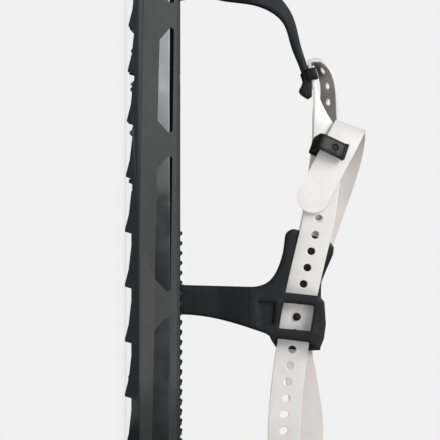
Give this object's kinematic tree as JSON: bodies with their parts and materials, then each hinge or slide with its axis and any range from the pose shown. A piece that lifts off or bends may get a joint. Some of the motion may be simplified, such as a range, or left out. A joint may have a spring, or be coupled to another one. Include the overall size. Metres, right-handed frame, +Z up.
{
  "type": "snowshoe",
  "caption": "Trail snowshoe with toothed side rails, windowed blades, a flat deck and a pivoting binding with moulded arms and perforated straps.",
  "frame": {"origin": "under the middle of the shoe, on the plane that the rail teeth stand on", "axes": "+Z up, +Y towards the toe, +X to the wearer's right"},
  "size_m": [0.2, 0.6367, 0.1506],
  "materials": {
    "rail": "satin",
    "steel": "satin",
    "wrap": "gloss",
    "deck": "matte",
    "moulding": "satin",
    "strap": "satin",
    "clip": "satin"
  },
  "bodies": {
    "shoe": {"left_rail": "rail", "right_rail": "rail", "toe_splice": "steel", "tail_splice": "steel", "splice_rivets": "steel", "left_deck_wrap": "wrap", "right_deck_wrap": "wrap", "deck": "deck", "left_grip_strip": "moulding", "right_grip_strip": "moulding", "heel_pad": "moulding", "front_crossbar": "steel", "rear_crossbar": "steel", "deck_rivets": "steel", "left_pivot_bracket": "steel", "right_pivot_bracket": "steel", "pivot_bar": "steel"},
    "binding": {"left_bushing": "clip", "right_bushing": "clip", "toe_crampon": "steel", "footbed": "moulding", "left_toe_arm": "moulding", "right_toe_arm": "moulding", "left_rear_arm": "moulding", "right_rear_arm": "moulding", "left_toe_stud": "clip", "right_toe_stud": "clip", "left_heel_stud": "clip", "right_heel_stud": "clip", "binding_rivets": "steel", "side_strap": "strap", "instep_strap": "strap"},
    "keeper": {"keeper": "clip"}
  },
  "joints": [
    {"name": "binding_pivot", "type": "hinge", "parent": "shoe", "child": "binding", "pos_m": [0, 0.072, 0.014], "axis": [-1, 0, 0], "range_deg": [0, 55]},
    {"name": "keeper_slide", "type": "slide", "parent": "binding", "child": "keeper", "axis": [0.1905, 0.9026, 0.3861], "range_m": [-0.012, 0]}
  ]
}
